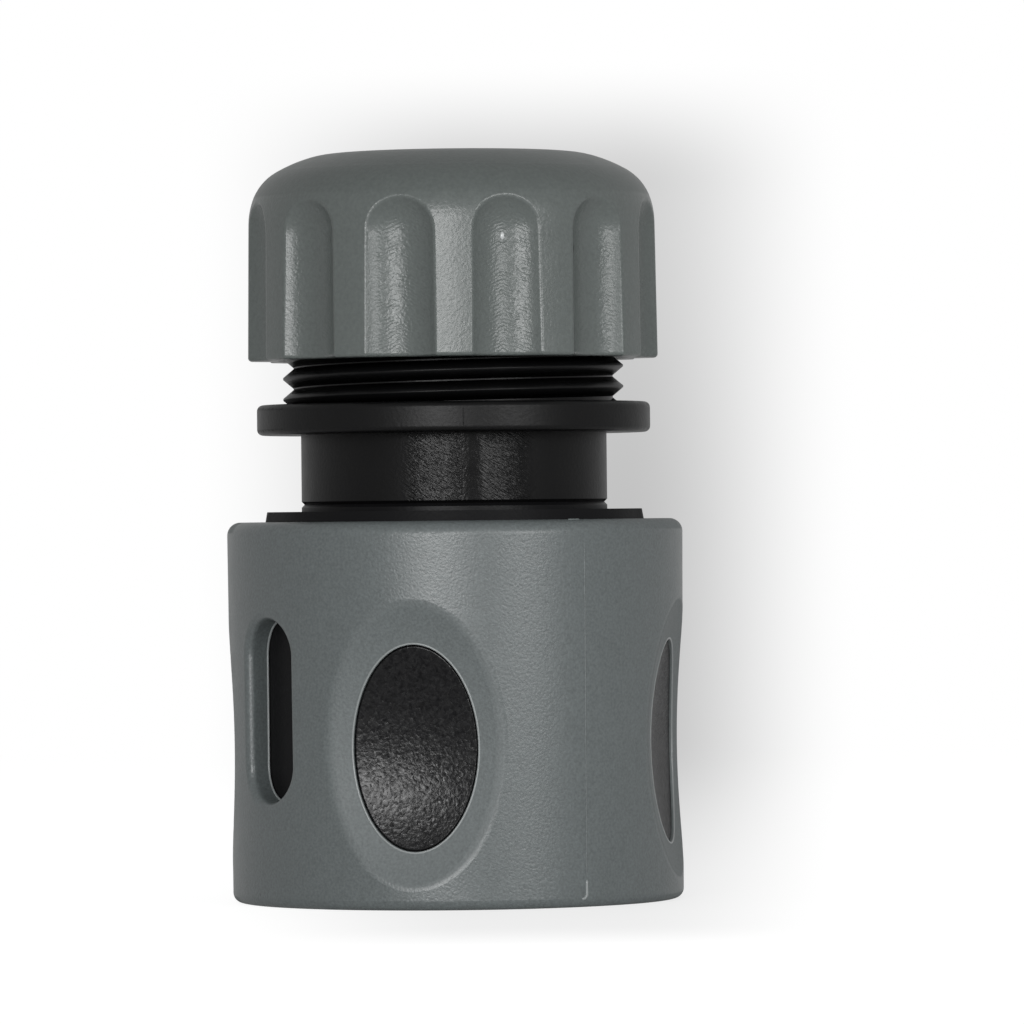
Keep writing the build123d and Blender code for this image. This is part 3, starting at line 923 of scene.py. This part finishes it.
@dataclass
class Grip(Assembly):
    """The sliding grip: grey shell, black core with its pads, cam ring, and the shell's mould marks."""

    foot_radius: float = ShellPlastic.foot_radius
    top_radius: float = ShellPlastic.top_radius
    height: float = ShellPlastic.skin_height
    bore: float = 17.08
    seam_angle: float = 270.0
    seam_heights: Row = (0.9, 10.0, 20.0, 30.7)
    seam_width: float = 0.12
    seam_sink: float = 0.025
    pad_angles: Row = (45.0, 135.0, 225.0, 315.0)
    pad_height: float = 13.3
    pad_half_width: float = 5.215
    pad_half_length: float = 8.5
    dish_floor: float = 17.262
    dish_sweep_radius: float = 38.72
    dish_cross_radius: float = 70.0
    lip_width: float = 0.2
    lip_offset: float = 0.1
    lip_sink: float = 0.045
    slot_angles: Row = (0.0, 180.0)
    slot_foot: float = 8.7
    slot_top: float = 23.9
    slot_width: float = 6.2
    slot_lip_stand: float = 0.04
    hook_heights: Row = (2.3, 1.6, 1.0, 0.75, 0.7)
    hook_slew: Row = (0.0, 0.0, 0.0, -0.6, -1.6)
    hook_width: float = 0.24
    hook_sink: float = 0.01
    foot_round: float = 1.0
    foot_slant: float = 0.15
    flash_place: tuple[float, float] = (18.5, 31.93)
    flash_slew: Row = (-3.6, -2.4, -1.2, 0.0)
    flash_width: float = 0.16
    round_steps: int = 96

    def skin(self, height: float) -> float:
        """Radius of the shell's skin at a height, between its rounded edges."""
        return self.foot_radius + (self.top_radius - self.foot_radius) * height / self.height

    def build(self, black: Material) -> None:
        """Dresses the three nodes and adds the seams, the lips and the flash.

        Args:
            black: the black plastic of the socket and the cam ring.
        """
        grey = Coat(GREY_SHELL.build(), Slot.GREY, Body.GRIP)
        pale = Coat(PALE_EDGE_HIGHLIGHT.build(), Slot.GREY, Body.GRIP)
        self.dress("grip_shell", grey.finish)
        self.dress("grip_core", BLACK_CORE.build())
        self.dress("cam_ring", black)
        seam = [(self.skin(height) - self.seam_sink, height) for height in self.seam_heights]
        for side, extra in SIDES:
            path = upright_path(self.seam_angle + extra, seam)
            Bead(f"shell_seam_{side}", path, self.seam_width).build(grey)
        # The lips are fine beads in pale grey, a painted highlight along the rims of the windows and slots.
        rims = (("window", self.pad_angles, self.window_rim), ("slot", self.slot_angles, self.slot_rim))
        for kind, angles, rim in rims:
            for number, angle in enumerate(angles, 1):
                loop = self.loop(angle, rim)
                Bead(f"{kind}_lip_{number}", loop, self.lip_width, closed=True).build(pale)
        self.flash(grey, pale)

    def dish_radius(self, across: float, rise: float) -> float:
        """Distance of the dish's bowl from the connector's axis, along the dish's own direction.

        Args:
            across: distance from the dish's middle, round the grip.
            rise: height above the dish's middle.

        Returns:
            The distance.
        """
        centre = self.dish_floor + self.dish_cross_radius
        sweep = self.dish_sweep_radius - math.sqrt(self.dish_sweep_radius**2 - rise**2)
        cross = self.dish_cross_radius - sweep
        return centre - math.sqrt(cross**2 - across**2)

    def window_rim(self, around: float) -> Triple:
        """A point on the rounded rim of a pad's window.

        Args:
            around: the point's angle round the window.

        Returns:
            Its distance outwards, its distance aside and its height.
        """
        across = (self.pad_half_width + self.lip_offset) * math.cos(around)
        rise = (self.pad_half_length + self.lip_offset) * math.sin(around)
        return self.dish_radius(across, rise) - self.lip_sink, across, self.pad_height + rise

    def slot_rim(self, around: float) -> Triple:
        """A point on the inner rim of a slot, on the shell's bore.

        Args:
            around: the point's angle round the slot.

        Returns:
            Its distance outwards, its distance aside and its height.
        """
        half = self.slot_width / 2
        across = half * math.cos(around)
        sine = math.sin(around)
        middle = self.slot_top - half if sine >= 0 else self.slot_foot + half
        return math.sqrt(self.bore**2 - across**2) + self.slot_lip_stand, across, middle + half * sine

    def loop(self, angle: float, rim: Callable[[float], Triple]) -> list[Vector]:
        """Follows the rim of a window or a slot once round.

        Args:
            angle: its angle round the axis, in degrees.
            rim: gives a point of the rim.

        Returns:
            The points of the loop, in millimetres.
        """
        turn = Matrix.Rotation(math.radians(angle), 3, "Z")
        rounds = [2 * math.pi * step / self.round_steps for step in range(self.round_steps)]
        return [turn @ Vector(rim(around)) for around in rounds]

    def flash(self, grey: Coat, pale: Coat) -> None:
        """Adds the thicker bead of flash at the seam's foot, which hooks to the left, and one on the upper edge.

        Args:
            grey: the shell's coat.
            pale: the coat of the shell's fine edges.
        """
        steps = [
            (self.skin(height) - self.hook_sink - max(0.0, self.foot_round - height) * self.foot_slant, height)
            for height in self.hook_heights
        ]
        hook = upright_path(self.seam_angle, steps, slew=self.hook_slew)
        Bead("foot_flash", hook, self.hook_width).build(pale)
        bump = upright_path(self.seam_angle, [self.flash_place] * len(self.flash_slew), slew=self.flash_slew)
        Bead("top_flash", bump, self.flash_width).build(grey)


@dataclass
class ReturnSpring:
    """The grip's round-wire return spring, ground flat at both ends."""

    name: str = "round_wire_spring"
    wire_diameter: float = 1.1
    wire_sides: int = 20
    coil_radius: float = 13.95
    turns: float = 3.5
    steps_per_turn: int = 72
    foot: float = 12.58
    top: float = 28.0
    travel: float = 5.0

    def build(self) -> None:
        """Winds a round wire, grinds its ends level, hides the record's spring and puts the wire on the connector's
        body.
        """
        lengths = {
            "Wire diameter": self.wire_diameter, "Coil radius": self.coil_radius, "Foot": self.foot, "Top": self.top,
        }
        recipe = Recipe(self.name, lengths, {"Turns": self.turns})
        radius, foot, top, turns = (recipe.size(name) for name in ("Coil radius", "Foot", "Top", "Turns"))
        spiral = recipe.spiral(radius, top - foot, turns, self.steps_per_turn)
        wire = recipe.bar(spiral, "Wire diameter", self.wire_sides)
        x, y, z = recipe.split(recipe.add("GeometryNodeInputPosition").outputs[0])
        level = recipe.join(x, y, (z + foot).most(foot).least(top))
        ground = recipe.add("GeometryNodeSetPosition", {"Geometry": wire, "Position": level})
        steel = Coat(SPRING_STEEL.build(), Slot.SPRING, Body.CONNECTOR)
        spring = recipe.bake(ground.outputs[0], steel.finish)
        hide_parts("return_spring")
        steel.put_on(spring)
        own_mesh(spring)


@dataclass
class Socket(Assembly):
    """The plug socket with its four locking jaws, seen only from below."""

    jaw_count: int = 4

    def build(self, black: Material) -> None:
        """Dresses the socket and the jaws.

        Args:
            black: the black plastic of the socket and the cam ring.
        """
        self.dress("socket_body", black)
        pale = JAW_WHITE.build()
        for number in range(1, self.jaw_count + 1):
            self.dress(f"locking_jaw_{number}", pale)


@dataclass(frozen=True)
class PhotoCamera:
    """The camera of the photograph, level with the grip's upper edge and a long way off."""

    azimuth: float = -34.2
    height: float = 32.6
    distance: float = 650.0
    lens: float = 271.0
    sensor: float = 36.0
    axis_offset: float = 4.84
    lean: float = 0.62
    nearest: float = 10.0
    farthest: float = 10_000.0

    def build(self) -> None:
        """Makes the camera and puts it in charge of the scene."""
        turn = math.radians(self.azimuth)
        back = Vector((math.sin(turn), -math.cos(turn), 0.0))
        right = Vector((math.cos(turn), math.sin(turn), 0.0))
        up = Vector((0.0, 0.0, 1.0))
        data = bpy.data.cameras.new("photo camera")
        data.sensor_width = self.sensor
        data.lens = self.lens
        data.clip_start = self.nearest * MM
        data.clip_end = self.farthest * MM
        camera = show("photo camera", data)
        facing = Matrix((right, up, back)).transposed().to_4x4()
        roll = Matrix.Rotation(math.radians(-self.lean), 4, "Z")
        place = back * self.distance + right * self.axis_offset + up * self.height
        camera.matrix_world = Matrix.Translation(place * MM) @ facing @ roll
        bpy.context.scene.camera = camera


@dataclass(frozen=True)
class SoftBox:
    """One oblong soft lamp, aimed at the middle of the connector."""

    name: str
    azimuth: float
    elevation: float
    width: float
    height: float
    power: float
    distance: float = 620.0
    mirrored: bool = True
    target_height: float = 32.0

    def build(self) -> None:
        """Makes the lamp."""
        turn = math.radians(self.azimuth)
        rise = math.radians(self.elevation)
        level = math.cos(rise)
        away = Vector((math.sin(turn) * level, -math.cos(turn) * level, math.sin(rise)))
        data = bpy.data.lights.new(self.name, "AREA")
        data.shape, data.energy = "RECTANGLE", self.power
        data.size, data.size_y = self.width * MM, self.height * MM
        lamp = show(self.name, data)
        lamp.location = (Vector((0.0, 0.0, self.target_height)) + away * self.distance) * MM
        lamp.rotation_mode = "QUATERNION"
        lamp.rotation_quaternion = away.to_track_quat("Z", "Y")
        lamp.visible_camera = False
        lamp.visible_glossy = self.mirrored


@dataclass(frozen=True)
class PaintedShadowPatch:
    """A painted shadow: a soft grey patch painted on the paper behind and beside the connector, which widens away from
    the camera.

    Its edges are given where they cross the upright plane through the connector's axis.
    """

    camera: PhotoCamera = PhotoCamera()
    start: Edge = (-75.0, -65.0)
    nearest: float = -100.0
    left: Edge = (-22.3, 2.1)
    right: Edge = (14.0, 34.2)
    crown: Edge = (28.5, 59.8)
    top: Edge = (59.8, 70.7)
    crown_fade: float = 0.22
    foot: Edge = (-4.4, -2.3)
    foot_rise: Edge = (-3.5, 14.2)
    foot_fade: float = 0.64
    shadow_darkness: float = 0.465

    def tone(self, place: Place) -> Wire:
        """Gives the paper's tone, with the painted shadow.

        Args:
            place: the point on the paper.

        Returns:
            The tone, 1 where the paper is plain and less under the painted shadow.
        """
        eye = self.camera
        turn = math.radians(eye.azimuth)
        depth = place.y * math.cos(turn) - place.x * math.sin(turn)
        across = place.x * math.cos(turn) + place.y * math.sin(turn)
        widening = depth.most(self.nearest) * (1 / eye.distance) + 1.0
        aside = (across - eye.axis_offset) / widening + eye.axis_offset
        level = (place.height - eye.height) / widening + eye.height
        breadth = aside.ramp(*self.left) * (1.0 - aside.ramp(*self.right))
        crown = 1.0 - level.ramp(*self.crown) * self.crown_fade - level.ramp(*self.top) * (1.0 - self.crown_fade)
        foot = (1.0 - (1.0 - level.ramp(*self.foot_rise)) * self.foot_fade) * level.ramp(*self.foot)
        # Painted shadow: the paper is darkened in a soft patch that stands in for the connector's shadow.
        return 1.0 - breadth * crown * foot * depth.ramp(*self.start) * self.shadow_darkness


@dataclass
class Studio:
    """A pale sweep of floor and wall round the object, with a painted shadow on it, soft lamps and an even room light.
    """

    floor_radii: Row = (60.0, 200.0, 850.0)
    cove_radius: float = 400.0
    wall_height: float = 1100.0
    cove_steps: int = 16
    round_steps: int = 96
    painted_shadow: PaintedShadowPatch = PaintedShadowPatch()
    lamps: tuple[SoftBox, ...] = (
        SoftBox("left front lamp", azimuth=-43.5, elevation=6.6, width=310.0, height=110.0, power=1.6),
        SoftBox("right front lamp", azimuth=0.0, elevation=9.0, width=270.0, height=160.0, power=1.07),
        SoftBox(
            "rear lamp", azimuth=145.8, elevation=22.0, width=500.0, height=300.0, power=0.9, distance=700.0,
            mirrored=False,
        ),
    )
    floor_colour: float = 0.9
    white_edge: Edge = (50.0, 400.0)
    room_light: float = 0.27
    floor_glow: float = 1.27
    floor_share: float = 0.28
    gloss_share: float = 0.2

    def build(self) -> None:
        """Makes the sweep, the lamps and the room light."""
        self.sweep()
        self.room()
        for lamp in self.lamps:
            lamp.build()

    def sweep(self) -> None:
        """Turns the floor, its cove and the wall as one surface round the axis."""
        outline = [(radius, 0.0) for radius in self.floor_radii]
        edge = self.floor_radii[-1]
        for step in range(1, self.cove_steps + 1):
            turn = math.radians(90.0 * step / self.cove_steps)
            outline.append((edge + self.cove_radius * math.sin(turn), self.cove_radius * (1 - math.cos(turn))))
        outline.append((edge + self.cove_radius, self.wall_height))
        points = []
        for radius, height in outline:
            for step in range(self.round_steps):
                turn = 2 * math.pi * step / self.round_steps
                points.append((radius * math.cos(turn) * MM, radius * math.sin(turn) * MM, height * MM))
        mesh = bpy.data.meshes.new("studio sweep")
        mesh.from_pydata(points, [], ring_faces(len(outline), self.round_steps))
        mesh.shade_smooth()
        mesh.materials.append(self.paper())
        sweep = show("studio_sweep", mesh)
        sweep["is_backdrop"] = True

    def paper(self) -> Material:
        """White paper: it takes real shadows near the object, carries a painted shadow behind and beside it, and turns
        to an even white further off.

        Returns:
            The material.
        """
        material, graph, output = new_material("white paper sweep")
        place = Place(graph)
        far = place.radius.ramp(*self.white_edge)
        matt = graph.add("ShaderNodeBsdfDiffuse", {"Color": (*[self.floor_colour] * 3, 1.0)})
        # The tone carries the painted shadow into the white and the glow that the camera sees.
        tone = graph.grey(self.painted_shadow.tone(place))
        strengths = (1.0, self.floor_glow)
        white, glow = (graph.add("ShaderNodeEmission", {"Color": tone, "Strength": level}) for level in strengths)
        clear = graph.add("ShaderNodeBsdfTransparent")

        def mix(share: Number, first: Node, second: Node) -> Node:
            """Mixes two shaders."""
            return graph.add("ShaderNodeMixShader", {0: share, 1: first.outputs[0], 2: second.outputs[0]})

        unseen = mix(far, matt, clear)
        shown = mix(far, mix(1.0 - self.floor_share, matt, glow), white)
        graph.feed(output.inputs["Surface"], mix(self.seen(graph), unseen, shown).outputs[0])
        return material

    def seen(self, graph: Graph) -> Wire:
        """How white the paper and the room look to the ray that meets them.

        Args:
            graph: the graph of the paper or the room.

        Returns:
            1 for the camera and through glass, less in a gloss and 0 for the light that they give.
        """
        camera, glass, gloss = (
            graph.wire("ShaderNodeLightPath", f"Is {kind} Ray") for kind in ("Camera", "Transmission", "Glossy")
        )
        return (camera + glass + gloss * self.gloss_share).least(1.0)

    def room(self) -> None:
        """Gives the room an even light, and white where it is seen or mirrored."""
        world = bpy.data.worlds.new("even room light")
        world.use_nodes = True
        world.node_tree.nodes.clear()
        graph = Graph(world.node_tree)
        strength = self.room_light + self.seen(graph) * (1.0 - self.room_light)
        light = graph.add("ShaderNodeBackground", {"Color": (1.0, 1.0, 1.0, 1.0), "Strength": strength})
        output = graph.add("ShaderNodeOutputWorld")
        graph.feed(output.inputs["Surface"], light.outputs[0])
        bpy.context.scene.world = world
        bpy.context.scene.view_settings.view_transform = "Standard"


def corners() -> list[list[float]]:
    """Lowest and highest corner of what is shown, as plain numbers."""
    return [list(corner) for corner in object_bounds()]


def main() -> None:
    """Loads the frame, dresses each sub-assembly and sets the studio and the camera."""
    logging.basicConfig(level=logging.INFO, format="%(message)s")
    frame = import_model()
    PhotoCamera().build()
    Studio().build()
    black = BLACK_SOCKET.build()
    nodes = frame["nodes"]
    Socket(nodes).build(black)
    Grip(nodes).build(black)
    ReturnSpring().build()
    UpperBody(nodes).build()
    Nut(nodes).build()


if __name__ == "__main__":
    main()
